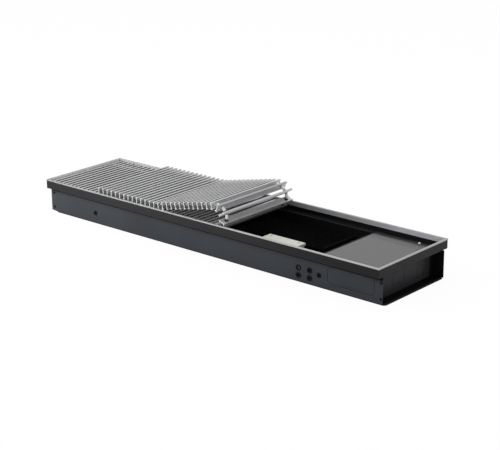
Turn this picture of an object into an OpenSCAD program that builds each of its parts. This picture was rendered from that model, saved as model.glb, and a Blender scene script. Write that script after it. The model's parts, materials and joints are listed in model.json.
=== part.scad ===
// Floor trench convector: a sheet-metal trough with a crossflow fan, a finned heat exchanger
// and a roll-up bar grille. The right half of the grille is folded back over the left half.
// Millimetres. X runs along the trough, Y across it (+Y is the back), Z is up.
// The origin is the bottom centre.

/* [Overall] */
// Length over the trim
length = 1000; // [900:10:1400]
// Width over the trim
width = 250; // [240:5:360]
// Height from the underside to the top of the trim
height = 85; // [80:1:140]
// Thickness of the wall sheets
sheet = 1.2; // [0.8:0.1:2]
// Thickness of the base sheet
base_t = 1.5; // [1:0.1:3]

/* [Grille] */
// Spacing of the grille bars
pitch = 13.9; // [12:0.1:18]
// Width of a bar's flanges
bar_w = 5.5; // [4:0.1:7]
// Height of a bar
bar_h = 16; // [14:0.5:20]
// Bars in the upper run that slope down
ramp_bars = 12; // [6:1:16]
// Bars in the upper run that lie level
tail_bars = 14; // [6:1:20]
// Distance of each cord from the centre line
cord_y = 103; // [80:1:112]
// Outer radius of the spacer sleeves
sleeve_r = 3.5; // [3:0.1:4]

/* [Inside] */
// Radius of the exchanger tubes
tube_r = 7.5; // [6:0.5:9]
// Spacing of the exchanger fins
fin_pitch = 7; // [3:0.5:12]
// Radius of the fan wheel
wheel_r = 22; // [16:0.5:24]

// One node by name, or every node

/* [Hidden] */
$fn = 48;
half_l = length / 2;
half_w = width / 2;

// Trough sheet lines
ledge_z = 63;
ledge_top = ledge_z + sheet;
wall_y = half_w - 18;
wall_in = wall_y - sheet;
wall_x = half_l - 25.5;
end_in = wall_x - sheet;
base_x = half_l + 3;
wall_end = half_l - 3.5;
tab_end = wall_end - 1;
rim_y = half_w - 0.8;
rim_x = half_l - 0.8;
trim_t = 1.5;
lip_in = 5;
rim_z = height - trim_t;

// Grille
half_h = bar_h / 2;
gap = pitch - bar_w;
web = 2;
flange = 1.6;
edge = 0.5;
strip_top = ledge_top + 0.7;
lay_gap = 0.1;
wire_z = strip_top + lay_gap + half_h;
bar_len = 2 * (half_w - lip_in - 1);
end_play = 5.75;
bars = floor((length - 2 * lip_in - 2 * end_play) / pitch);
fold_bars = 6;
laid = bars - fold_bars - ramp_bars - tail_bars;
x_first = -half_l + lip_in + end_play + bar_w / 2;
x_last = x_first + (laid - 1) * pitch;
ring_r = 4.25;
ring_t = 2;
ring_end = web / 2 + ring_t;
bore_r = 2;
wire_r = 1;
hole_r = wire_r + 0.1;
stub = 6.3;
sleeve_len = pitch - web / 2 - ring_end - 0.1;
short_sleeve = sleeve_len - 0.9;
rest_gap = 0.3;

// Turn of each bar of the fold against the bar before it, and the height above the cords
// of the line that it turns about
turns = [5, 26, 35, 56, 36, 27];
bend_lift = 6;

// Inside
tube_in = tube_r - 1;
tube_ys = [-12, 25, 62];
low_z = 17;
high_z = 38;
fin_x0 = -half_l + 80;
fin_x1 = half_l - 220;
bend_x0 = fin_x0 - 8;
bend_x1 = fin_x1 + 8;
valve_x = half_l - 167;
part_x = half_l - 184;
fan_y = -half_w + 63;
fan_z = 33;
fan_x0 = -half_l + 104;
fan_x1 = half_l - 440;
case_r = wheel_r + 4;
shaft_r = 3;
run_gap = 0.05;
lead_y = fan_y - 17;
box_x0 = half_l - 357;
box_x1 = half_l - 257;
box_y0 = -half_w + 22;
box_y1 = -half_w + 84;
box_top = 62;
lid_t = 5;
plate_x0 = part_x + 6.5;
plate_x1 = half_l - 20;
plate_y = half_w - 13;
screw_x = x_first + (bars - 3.5) * pitch;
screw_y = half_w - 16;

// ---------------------------------------------------------------- places along the folded grille
// A place is [x, z, travel angle]; the angle grows anticlockwise seen from the front.
function turned(a, v) = [v[0] * cos(a) - v[1] * sin(a), v[0] * sin(a) + v[1] * cos(a)];
function at(p, v) = [p[0], p[1]] + turned(p[2], v);

// Next bar over one flexing joint
function hop(p, turn) =
    let (a = p[2] + turn,
        c = at(p, [pitch / 2, bend_lift]) + turned(a, [pitch / 2, -bend_lift]))
    [c[0], c[1], a];

// The sleeve between two bars of a wide turn, and the bar after it
function mid_sleeve(p, turn) =
    let (a = p[2] + turn / 2,
        c = at(p, [bar_w / 2, bend_lift]) + turned(a, [gap / 2, -bend_lift]))
    [c[0], c[1], a];
function past_sleeve(p, turn) =
    let (a = p[2] + turn / 2,
        c = at(p, [gap / 2, bend_lift]) + turned(a, [bar_w / 2, -bend_lift]))
    [c[0], c[1], a];

place_0 = [x_last, wire_z, 0];
place_1 = hop(place_0, turns[0]);
place_2 = hop(place_1, turns[1]);
place_3 = hop(place_2, turns[2]);
link_34 = mid_sleeve(place_3, turns[3]);
place_4 = past_sleeve(link_34, turns[3]);
link_45 = mid_sleeve(place_4, turns[4]);
place_5 = past_sleeve(link_45, turns[4]);
place_6 = hop(place_5, turns[5]);

// The slope that sets the level run down on the laid bars
tail_z = wire_z + bar_h + rest_gap;
function ramp_at(slope) = hop(place_6, 180 + slope - place_6[2]);
function foot_z(slope) = at(ramp_at(slope), [(ramp_bars - 0.5) * pitch, 0])[1];
function solve(lo, hi, n) =
    let (m = (lo + hi) / 2)
    n == 0 ? m : foot_z(m) > tail_z ? solve(m, hi, n - 1) : solve(lo, m, n - 1);
slope = solve(1, 40, 40);
place_r = ramp_at(slope);
foot = at(place_r, [(ramp_bars - 0.5) * pitch, 0]);
place_t = [foot[0] - pitch / 2, foot[1], 180];

module put(p) {
    translate([p[0], 0, p[1]])
        rotate([0, -p[2], 0])
            children();
}

// ---------------------------------------------------------------- shared shapes
module along_x(x0, x1) {
    translate([x0, 0, 0])
        rotate([90, 0, 90])
            linear_extrude(x1 - x0)
                children();
}

module rod_x(x0, x1, y, z, r) {
    translate([x0, y, z])
        rotate([0, 90, 0])
            cylinder(r = r, h = x1 - x0);
}

module rod_y(y0, y1, x, z, r) {
    translate([x, y0, z])
        rotate([-90, 0, 0])
            cylinder(r = r, h = y1 - y0);
}

module rod_z(z0, z1, x, y, r) {
    translate([x, y, z0])
        cylinder(r = r, h = z1 - z0);
}

module block(x0, x1, y0, y1, z0, z1) {
    translate([x0, y0, z0])
        cube([x1 - x0, y1 - y0, z1 - z0]);
}

module round_rect(w, h, r) {
    square([w - 2 * r, h], center = true);
    square([w, h - 2 * r], center = true);
    for (sx = [-1, 1], sy = [-1, 1])
        translate([sx * (w / 2 - r), sy * (h / 2 - r)])
            circle(r = r);
}

// The slit round a knock-out, with two tabs left on each long side
module knock_slit(w, h, r) {
    slit = 0.8;
    tab = 3;
    difference() {
        round_rect(w, h, r);
        round_rect(w - 2 * slit, h - 2 * slit, r - slit);
        for (sx = [-1, 1])
            translate([sx * w / 4, 0])
                square([tab, h + 2], center = true);
    }
}

// ---------------------------------------------------------------- grille pieces
module bar() {
    w = bar_w / 2;
    difference() {
        rotate([90, 0, 0])
            linear_extrude(bar_len, center = true)
                polygon([
                    [-w + edge, -half_h], [w - edge, -half_h], [w, -half_h + edge],
                    [w, -half_h + flange], [web / 2, -half_h + flange],
                    [web / 2, half_h - flange], [w, half_h - flange],
                    [w, half_h - edge], [w - edge, half_h], [-w + edge, half_h],
                    [-w, half_h - edge], [-w, half_h - flange],
                    [-web / 2, half_h - flange], [-web / 2, -half_h + flange],
                    [-w, -half_h + flange], [-w, -half_h + edge]]);
        for (s = [-1, 1])
            rod_x(-web, web, s * cord_y, 0, hole_r);
    }
}

// A hollow round between two points along the cord
module tube_at(x0, x1, r_out, r_in) {
    for (s = [-1, 1])
        difference() {
            rod_x(x0, x1, s * cord_y, 0, r_out);
            rod_x(x0 - 1, x1 + 1, s * cord_y, 0, r_in);
        }
}

module ring() {
    tube_at(web / 2, ring_end, ring_r, hole_r);
}

module sleeve(len) {
    tube_at(-web / 2 - len, -web / 2, sleeve_r, bore_r);
}

module core(x0, x1) {
    for (s = [-1, 1])
        rod_x(x0, x1, s * cord_y, 0, wire_r);
}

module ferrule(x0, x1) {
    for (s = [-1, 1])
        rod_x(x0, x1, s * cord_y, 0, 2.2);
}

module link_sleeve() {
    tube_at(ring_end - pitch / 2 + 0.1, pitch / 2 - web / 2 - 0.1, sleeve_r, bore_r);
}

// The two rings and cord ends on one bar of the fold, and the sleeves it carries
module pins(before, after) {
    ring();
    core(-stub, after);
    if (before)
        sleeve(sleeve_len);
}

// ---------------------------------------------------------------- trough sheets
module side_sheet() {
    cut = 20;
    rise = 2;
    difference() {
        union() {
            block(-base_x, wall_end, wall_in, wall_y, base_t, ledge_z);
            block(-rim_x + sheet, rim_x - sheet, wall_in, rim_y - sheet, ledge_z, ledge_top);
        }
        for (s = [-1, 1])
            for (z = [12.8, 47.7])
                rod_y(wall_in - 1, wall_y + 1, s * (half_l - 7), z, 1.65);
        rod_z(ledge_z - 1, ledge_top + 1, screw_x, screw_y, 1.55);
        translate([0, wall_y + 1, 0])
            rotate([90, 0, 0])
                linear_extrude(sheet + 2)
                    polygon([[-base_x - 1, base_t - 1], [-base_x + cut, base_t - 1],
                        [-base_x + cut, base_t], [-base_x, base_t + rise],
                        [-base_x - 1, base_t + rise]]);
    }
}

module end_sheet() {
    tab_in = wall_in - sheet;
    difference() {
        union() {
            block(end_in, wall_x, -wall_in, wall_in, base_t, ledge_top);
            block(end_in, rim_x - sheet, -wall_in, wall_in, ledge_z, ledge_top);
            for (s = [-1, 1])
                translate([0, s * (wall_in - sheet / 2), 0])
                    rotate([90, 0, 0])
                        linear_extrude(sheet, center = true)
                            polygon([[end_in, 4], [tab_end - 4, 4], [tab_end, 8],
                                [tab_end, 54], [tab_end - 4, 58], [end_in, 58]]);
        }
        for (s = [-1, 1])
            for (z = [12.8, 47.7])
                rod_y(s > 0 ? tab_in - 1 : -wall_in - 1, s > 0 ? wall_in + 1 : -tab_in + 1,
                    half_l - 7, z, 1.65);
        for (k = [[-19.5, 38, 43, 38], [66, 28.5, 34, 39]])
            translate([end_in - 1, k[0], k[1]])
                rotate([90, 0, 90])
                    linear_extrude(sheet + 2)
                        knock_slit(k[2], k[3], 5);
    }
}

module trim_section() {
    lip = 2.5;
    polygon([[half_w - lip_in, 74], [half_w - lip_in + trim_t, 74], [half_w - lip_in + trim_t, rim_z],
        [rim_y, rim_z], [rim_y, height - lip], [half_w, height - lip], [half_w, height],
        [half_w - lip_in, height]]);
}

module base_plate() {
    big = 20;
    small = 5;
    color("DimGray")
        difference() {
            linear_extrude(base_t)
                polygon([[-base_x + big, -wall_y], [base_x - small, -wall_y],
                    [base_x, -wall_y + small], [base_x, wall_y - small],
                    [base_x - small, wall_y], [-base_x + big, wall_y],
                    [-base_x, wall_y - big], [-base_x, -wall_y + big]]);
            for (sx = [-1, 1], sy = [-1, 1]) {
                rod_z(-1, base_t + 1, sx * (half_l - 45), sy * (half_w - 40), 4.5);
                rod_z(-1, base_t + 1, sx * (half_l - 60), sy * (half_w - 31), 4.05);
            }
        }
}

module wall_front() {
    color("DimGray")
        difference() {
            mirror([0, 1, 0])
                side_sheet();
            for (x = [half_l - 224, half_l - 193.5], z = [15, 32])
                rod_y(-wall_y - 1, -wall_in + 1, x, z, 5.2);
            for (h = [[-half_l + 152, 25.5], [half_l - 168.4, 27]])
                rod_y(-wall_y - 1, -wall_in + 1, h[0], h[1], 4.2);
            for (h = [[-26.4, 53.3], [12.6, 53.8]])
                rod_y(-wall_y - 1, -wall_in + 1, h[0], h[1], 1.8);
            translate([half_l - 85, -wall_in + 1, 34.3])
                rotate([90, 0, 0])
                    linear_extrude(sheet + 2)
                        knock_slit(123, 39, 12);
        }
}

module wall_back() {
    color("DimGray")
        side_sheet();
}

module wall_left() {
    color("DimGray")
        mirror([1, 0, 0])
            end_sheet();
}

module wall_right() {
    color("DimGray")
        end_sheet();
}

module upstands() {
    color("DimGray") {
        for (s = [-1, 1])
            block(-rim_x, rim_x, s * (rim_y - sheet / 2) - sheet / 2,
                s * (rim_y - sheet / 2) + sheet / 2, ledge_z, rim_z);
        for (s = [-1, 1])
            block(s * (rim_x - sheet / 2) - sheet / 2, s * (rim_x - sheet / 2) + sheet / 2,
                -rim_y + sheet, rim_y - sheet, ledge_z, rim_z);
    }
}

module trim_long() {
    color("Gainsboro")
        for (s = [0, 1])
            mirror([0, s, 0])
                difference() {
                    along_x(-half_l, half_l)
                        trim_section();
                    for (e = [0, 1])
                        mirror([e, 0, 0])
                            translate([0, 0, 70])
                                linear_extrude(20 + height - 85)
                                    polygon([[half_l - 10, half_w - 10],
                                        [half_l + 1, half_w + 1], [half_l + 1, half_w - 10]]);
                }
}

module trim_short() {
    color("Gainsboro")
        for (s = [0, 1])
            mirror([s, 0, 0])
                difference() {
                    translate([half_l - half_w, 0, 0])
                        rotate([90, 0, 0])
                            linear_extrude(width, center = true)
                                trim_section();
                    for (e = [0, 1])
                        mirror([0, e, 0])
                            translate([0, 0, 70])
                                linear_extrude(20 + height - 85)
                                    polygon([[half_l - 10, half_w - 10],
                                        [half_l + 1, half_w + 1], [half_l - 10, half_w + 1]]);
                }
}

module rubber_strips() {
    color("Black")
        for (s = [-1, 1])
            block(-half_l + 8, half_l - 8, s * (half_w - 8) - 2.5, s * (half_w - 8) + 2.5,
                ledge_top, strip_top);
}

module rivets() {
    tail = wall_in - sheet;
    color("Black")
        for (sx = [-1, 1], sy = [0, 1], z = [12.8, 47.7])
            mirror([0, sy, 0]) {
                rod_y(tail - 1, wall_y + 0.8, sx * (half_l - 7), z, 1.6);
                rod_y(wall_y, wall_y + 0.8, sx * (half_l - 7), z, 3);
                rod_y(tail - 1, tail, sx * (half_l - 7), z, 2.4);
            }
}

module grommets() {
    color("Black")
        for (x = [half_l - 224, half_l - 193.5], z = [15, 32])
            difference() {
                union() {
                    rod_y(-wall_y - 1.5, -wall_y, x, z, 6.8);
                    rod_y(-wall_y, -wall_in, x, z, 5.2);
                    rod_y(-wall_in, -wall_in + 1.5, x, z, 6.8);
                }
                rod_y(-wall_y - 2, -wall_in + 2, x, z, 3.6);
            }
}

module hole_plugs() {
    color("Black")
        for (h = [[-half_l + 152, 25.5], [half_l - 168.4, 27]])
            difference() {
                union() {
                    rod_y(-wall_y - 0.9, -wall_y, h[0], h[1], 6);
                    rod_y(-wall_y, -wall_in + 2, h[0], h[1], 4.15);
                    rod_y(-wall_in, -wall_in + 2, h[0], h[1], 4.8);
                }
                rod_y(-wall_y - 2, -wall_y + 1.5, h[0], h[1], 2);
            }
}

module level_screws() {
    color("Silver")
        for (sx = [-1, 1], sy = [-1, 1])
            difference() {
                rod_z(0.3, 26, sx * (half_l - 60), sy * (half_w - 31), 4);
                block(sx * (half_l - 60) - 3, sx * (half_l - 60) + 3, sy * (half_w - 31) - 0.6,
                    sy * (half_w - 31) + 0.6, 24, 27);
            }
}

module level_nuts() {
    color("Silver")
        for (sx = [-1, 1], sy = [-1, 1])
            translate([sx * (half_l - 60), sy * (half_w - 31), base_t])
                difference() {
                    linear_extrude(6.5)
                        polygon([for (k = [0:5]) [7.5 * cos(60 * k), 7.5 * sin(60 * k)]]);
                    rod_z(-1, 8, 0, 0, 4.05);
                }
}

module cover_plate() {
    color("Gray")
        difference() {
            block(plate_x0, plate_x1, -plate_y, plate_y, ledge_top, strip_top);
            for (s = [-1, 1])
                rod_z(ledge_top - 1, strip_top + 1, screw_x, s * screw_y, 1.7);
        }
}

// Low pan heads, in a gap of the grille when it is rolled out
module cover_screws() {
    rim = 0.8;
    head = 1.5;
    color("Silver")
        for (s = [-1, 1])
            translate([screw_x, s * screw_y, strip_top])
                difference() {
                    union() {
                        rod_z(-4, 0, 0, 0, 1.5);
                        rod_z(0, rim, 0, 0, 3.3);
                        translate([0, 0, rim])
                            cylinder(r1 = 3.3, r2 = 2.4, h = head - rim);
                    }
                    block(-1.8, 1.8, -0.35, 0.35, rim, head + 1);
                    block(-0.35, 0.35, -1.8, 1.8, rim, head + 1);
                }
}

// ---------------------------------------------------------------- right compartment
module partition() {
    color("DimGray")
        difference() {
            union() {
                block(part_x, part_x + sheet, -wall_in, wall_in, base_t, ledge_top);
                block(part_x, part_x + 12, -wall_in, wall_in, ledge_z, ledge_top);
                block(part_x, part_x + 12, -wall_in, wall_in, base_t, base_t + sheet);
            }
            rod_x(part_x - 1, part_x + 3, tube_ys[0], high_z, tube_r + 1.5);
            rod_x(part_x - 1, part_x + 3, tube_ys[2], low_z, tube_r + 1.5);
            rod_x(part_x - 1, part_x + 3, -half_w + 45, 45, 6);
        }
}

module valve(y, z, boss) {
    difference() {
        union() {
            rod_x(valve_x + 10, valve_x + 72, y, z, 12);
            rod_z(z, boss, valve_x + 40, y, 8);
            translate([valve_x, y, z])
                rotate([90, 0, 90])
                    linear_extrude(12)
                        polygon([for (k = [0:5]) [15 * cos(60 * k), 15 * sin(60 * k)]]);
        }
        rod_x(valve_x - 1, valve_x + 8, y, z, tube_r);
        rod_x(valve_x + 7, valve_x + 60, y, z, tube_in);
        rod_x(valve_x + 58, valve_x + 73, y, z, 9.5);
    }
}

module supply_valve() {
    color("Goldenrod")
        valve(tube_ys[0], high_z, 52);
}

module return_valve() {
    color("Goldenrod")
        valve(tube_ys[2], low_z, 38);
}

module ribbed_cap(r, y, z0, z1, stem_z) {
    difference() {
        rod_z(z0, z1, valve_x + 40, y, r);
        for (k = [0:11])
            translate([valve_x + 40, y, z0 - 1])
                rotate([0, 0, 30 * k])
                    translate([r, 0, 0])
                        cylinder(r = 1, h = z1 - z0 - 1, $fn = 16);
        rod_z(z0 - 1, stem_z, valve_x + 40, y, 8 + run_gap);
    }
}

module valve_knob() {
    color("WhiteSmoke")
        ribbed_cap(12, tube_ys[0], 50.5, 61.5, 52.3);
}

module lockshield_cap() {
    color("WhiteSmoke")
        ribbed_cap(11, tube_ys[2], 34, 48, 38.3);
}

// ---------------------------------------------------------------- control box
module box_body() {
    wall = 2;
    color("Ivory")
        difference() {
            block(box_x0 + 2, box_x1 - 3, box_y0 + 2, box_y1 - 2, base_t, box_top - lid_t);
            block(box_x0 + 2 + wall, box_x1 - 3 - wall, box_y0 + 2 + wall, box_y1 - 2 - wall,
                base_t + wall, box_top);
            rod_x(box_x0, box_x0 + 6, lead_y, fan_z, 6);
            rod_x(box_x1 - 7, box_x1, lead_y, fan_z, 6);
        }
}

module box_lid() {
    color("Ivory")
        difference() {
            block(box_x0, box_x1, box_y0, box_y1, box_top - lid_t, box_top);
            for (x = [box_x0 + 10, box_x1 - 12], y = [box_y0 + 8, box_y1 - 8]) {
                rod_z(box_top - 3, box_top + 1, x, y, 3);
                rod_z(box_top - lid_t - 1, box_top, x, y, 1.6);
            }
        }
}

module box_screws() {
    color("Silver")
        for (x = [box_x0 + 10, box_x1 - 12], y = [box_y0 + 8, box_y1 - 8])
            difference() {
                union() {
                    rod_z(box_top - 3, box_top - 1, x, y, 2.8);
                    rod_z(box_top - lid_t - 4, box_top - 3, x, y, 1.5);
                }
                block(x - 2, x + 2, y - 0.4, y + 0.4, box_top - 1.8, box_top);
            }
}

module terminal_block() {
    y = (box_y0 + box_y1) / 2;
    color("WhiteSmoke")
        difference() {
            block(box_x0 + 20, box_x1 - 24, y - 11, y + 11, base_t + 2, 26);
            for (k = [0:5])
                rod_z(14, 27, box_x0 + 27 + 8.5 * k, y, 2.6);
        }
}

module cable_glands() {
    color("Black")
        for (x = [box_x0 + 2, box_x1 - 3]) {
            out = x < (box_x0 + box_x1) / 2 ? -1 : 1;
            difference() {
                union() {
                    rod_x(min(x - 2 * out, x), max(x - 2 * out, x), lead_y, fan_z, 6);
                    rod_x(min(x + 9 * out, x), max(x + 9 * out, x), lead_y, fan_z, 8);
                }
                rod_x(x - 12, x + 12, lead_y, fan_z, 3);
            }
        }
}

// ---------------------------------------------------------------- heat exchanger
module pipe_x(x0, x1, y, z) {
    difference() {
        rod_x(x0, x1, y, z, tube_r);
        rod_x(x0 - 1, x1 + 1, y, z, tube_in);
    }
}

module bend(r) {
    rotate_extrude(angle = 180)
        translate([r, 0])
            difference() {
                circle(r = tube_r);
                circle(r = tube_in);
            }
}

module exch_tubes() {
    rise = (high_z - low_z) / 2;
    span = (tube_ys[1] - tube_ys[0]) / 2;
    color("Peru") {
        for (k = [0:2])
            for (z = [low_z, high_z]) {
                out = (k == 0 && z == high_z) || (k == 2 && z == low_z);
                pipe_x(bend_x0, out ? valve_x + 8 : bend_x1, tube_ys[k], z);
            }
        for (y = tube_ys)
            translate([bend_x0, y, (low_z + high_z) / 2])
                rotate([90, 90, 0])
                    rotate([0, 0, 180])
                        bend(rise);
        for (c = [[0, low_z], [1, high_z]])
            translate([bend_x1, (tube_ys[c[0]] + tube_ys[c[0] + 1]) / 2, c[1]])
                rotate([0, 0, -90])
                    bend(span);
    }
}

module exch_fins() {
    fins = floor((fin_x1 - fin_x0) / fin_pitch);
    color("DarkSlateGray")
        for (k = [0:fins])
            along_x(fin_x0 + k * fin_pitch, fin_x0 + k * fin_pitch + 0.5)
                difference() {
                    translate([-30, 6])
                        square([110, 46]);
                    for (y = tube_ys, z = [low_z, high_z])
                        translate([y, z])
                            circle(r = tube_r);
                }
}

module exch_plates() {
    color("DimGray")
        for (x = [fin_x0 - 5, fin_x1 + 4]) {
            along_x(x, x + 1.2)
                difference() {
                    translate([-32, base_t])
                        square([114, 56 - base_t]);
                    for (y = tube_ys, z = [low_z, high_z])
                        translate([y, z])
                            circle(r = tube_r);
                }
            for (y = [-32, 67])
                block(x + 1.2, x + 3.4, y, y + 15, base_t, base_t + 1.2);
        }
}

module bleed_body() {
    x = bend_x1 + (tube_ys[1] - tube_ys[0]) / 2;
    y = (tube_ys[1] + tube_ys[2]) / 2;
    color("Goldenrod")
        difference() {
            rod_z(high_z + tube_r - 0.5, 55, x, y, 4.5);
            translate([bend_x1, y, high_z])
                rotate([0, 0, -90])
                    rotate_extrude(angle = 180)
                        translate([(tube_ys[2] - tube_ys[1]) / 2, 0])
                            circle(r = tube_r);
            rod_z(49, 56, x, y, 2.2 + run_gap);
        }
}

module bleed_screw() {
    x = bend_x1 + (tube_ys[1] - tube_ys[0]) / 2;
    y = (tube_ys[1] + tube_ys[2]) / 2;
    color("Goldenrod")
        difference() {
            union() {
                rod_z(49.5, 55.3, x, y, 2.2);
                rod_z(55.3, 58, x, y, 3.4);
            }
            block(x - 4, x + 4, y - 0.5, y + 0.5, 56.6, 59);
        }
}

// ---------------------------------------------------------------- fan
module fan_housing() {
    thick = 1;
    lip = 24;
    color("DimGray")
        along_x(fan_x0, fan_x1) {
            translate([fan_y, fan_z])
                difference() {
                    circle(r = case_r + thick);
                    circle(r = case_r);
                    polygon([[0, 0], [0, -60], [60, -60], [60, 60], [-8, 60]]);
                }
            translate([fan_y, fan_z - case_r - thick])
                square([lip, thick]);
        }
}

module fan_wheel() {
    blades = 20;
    color("LightGray") {
        difference() {
            union() {
                rod_x(fan_x0 - 4, fan_x1 + 15, fan_y, fan_z, shaft_r);
                for (k = [0:4]) {
                    x = fan_x0 + 3 + k * (fan_x1 - fan_x0 - 7.5) / 4;
                    rod_x(x, x + 1.5, fan_y, fan_z, wheel_r);
                }
                for (k = [0:blades - 1])
                    translate([fan_x0 + 3, fan_y, fan_z])
                        rotate([360 / blades * k, 0, 0])
                            translate([0, wheel_r - 4.2, 0])
                                rotate([28, 0, 0])
                                    translate([0, -3, -0.4])
                                        cube([fan_x1 - fan_x0 - 6, 6, 0.8]);
            }
        }
    }
}

module fan_motor() {
    color("Gray")
        difference() {
            union() {
                rod_x(fan_x1 + 1.5, fan_x1 + 44, fan_y, fan_z, 20);
                rod_x(fan_x1 + 44, fan_x1 + 49, fan_y, fan_z, 13);
                block(fan_x1 + 40, fan_x1 + 52, lead_y - 5, lead_y + 5, fan_z - 5, fan_z + 5);
            }
            rod_x(fan_x1, fan_x1 + 16, fan_y, fan_z, shaft_r + run_gap);
        }
}

module fan_plates() {
    foot = 7;
    thick = 1.5;
    color("DimGray")
        for (p = [[fan_x0 - thick, -10.5], [fan_x1, 0]]) {
            along_x(p[0], p[0] + thick)
                difference() {
                    translate([fan_y - 32, foot])
                        square([62, fan_z + case_r + 1 - foot]);
                    translate([fan_y, fan_z])
                        circle(r = 8);
                }
            block(p[0] + p[1], p[0] + p[1] + 12, fan_y - 32, fan_y + 30, foot - thick, foot);
        }
}

module fan_bush() {
    color("Black")
        difference() {
            rod_x(fan_x0 - 3, fan_x0, fan_y, fan_z, 8);
            rod_x(fan_x0 - 4, fan_x0 + 1, fan_y, fan_z, shaft_r + run_gap);
        }
}

module fan_feet() {
    color("Black")
        for (x = [fan_x0 - 7.5, fan_x1 + 7], y = [fan_y - 24, fan_y + 22])
            rod_z(base_t, 5.5, x, y, 5);
}

// ---------------------------------------------------------------- grille bodies
module laid_bars() {
    color("Silver")
        for (k = [0:laid - 1])
            put([x_first + k * pitch, wire_z, 0])
                bar();
}

module laid_sleeves() {
    color("Silver")
        for (k = [1:laid - 1])
            put([x_first + k * pitch, wire_z, 0])
                sleeve(sleeve_len);
}

module laid_rings() {
    color("Black")
        for (k = [0:laid - 1])
            put([x_first + k * pitch, wire_z, 0])
                ring();
}

module laid_cores() {
    color("Gray")
        put([x_first, wire_z, 0]) {
            core(-web / 2 - 2, (laid - 1) * pitch + ring_end);
            ferrule(-web / 2 - 2, -web / 2);
        }
}

module fold_bar_1() {
    color("Silver")
        put(place_1)
            bar();
}

module fold_pins_1() {
    color("Gray")
        put(place_1)
            pins(true, ring_end);
}

module fold_bar_2() {
    color("Silver")
        put(place_2)
            bar();
}

module fold_pins_2() {
    color("Gray")
        put(place_2)
            pins(true, ring_end);
}

module fold_bar_3() {
    color("Silver")
        put(place_3)
            bar();
}

module fold_pins_3() {
    color("Gray")
        put(place_3)
            pins(true, stub);
}

module fold_link_34() {
    color("Silver")
        put(link_34)
            link_sleeve();
}

module fold_bar_4() {
    color("Silver")
        put(place_4)
            bar();
}

module fold_pins_4() {
    color("Gray")
        put(place_4)
            pins(false, stub);
}

module fold_link_45() {
    color("Silver")
        put(link_45)
            link_sleeve();
}

module fold_bar_5() {
    color("Silver")
        put(place_5)
            bar();
}

module fold_pins_5() {
    color("Gray")
        put(place_5)
            pins(false, ring_end);
}

module fold_bar_6() {
    color("Silver")
        put(place_6)
            bar();
}

module fold_pins_6() {
    color("Gray")
        put(place_6)
            pins(true, ring_end);
}

module ramp_run() {
    color("Silver")
        put(place_r)
            for (k = [0:ramp_bars - 1])
                translate([k * pitch, 0, 0])
                    bar();
}

module ramp_pins() {
    color("Gray")
        put(place_r) {
            core(-stub, (ramp_bars - 1) * pitch + ring_end);
            for (k = [0:ramp_bars - 1])
                translate([k * pitch, 0, 0]) {
                    ring();
                    sleeve(sleeve_len);
                }
        }
}

module tail_run() {
    color("Silver")
        put(place_t)
            for (k = [0:tail_bars - 1])
                translate([k * pitch, 0, 0])
                    bar();
}

module tail_pins() {
    last = (tail_bars - 1) * pitch;
    color("Gray")
        put(place_t) {
            core(-stub, last + web / 2 + 2);
            ferrule(last + web / 2, last + web / 2 + 2);
            sleeve(short_sleeve);
            for (k = [1:tail_bars - 1])
                translate([k * pitch, 0, 0])
                    sleeve(sleeve_len);
            for (k = [0:tail_bars - 2])
                translate([k * pitch, 0, 0])
                    ring();
        }
}

base_plate();
wall_front();
wall_back();
wall_left();
wall_right();
upstands();
trim_long();
trim_short();
rubber_strips();
rivets();
grommets();
hole_plugs();
level_screws();
level_nuts();
cover_plate();
cover_screws();
partition();
box_body();
box_lid();
box_screws();
terminal_block();
cable_glands();
exch_tubes();
exch_fins();
exch_plates();
supply_valve();
return_valve();
valve_knob();
lockshield_cap();
bleed_body();
bleed_screw();
fan_housing();
fan_wheel();
fan_motor();
fan_plates();
fan_bush();
fan_feet();
laid_bars();
laid_sleeves();
laid_rings();
laid_cores();
fold_bar_1();
fold_pins_1();
fold_bar_2();
fold_pins_2();
fold_bar_3();
fold_pins_3();
fold_link_34();
fold_bar_4();
fold_pins_4();
fold_link_45();
fold_bar_5();
fold_pins_5();
fold_bar_6();
fold_pins_6();
ramp_run();
ramp_pins();
tail_run();
tail_pins();
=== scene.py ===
"""Trench convector heater: finishes, rounded edges, spring cords and the studio stage."""

import json
import math

import bmesh
import bpy
from bpy.props import FloatProperty, FloatVectorProperty, PointerProperty
from mathutils import Matrix, Quaternion, Vector


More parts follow.
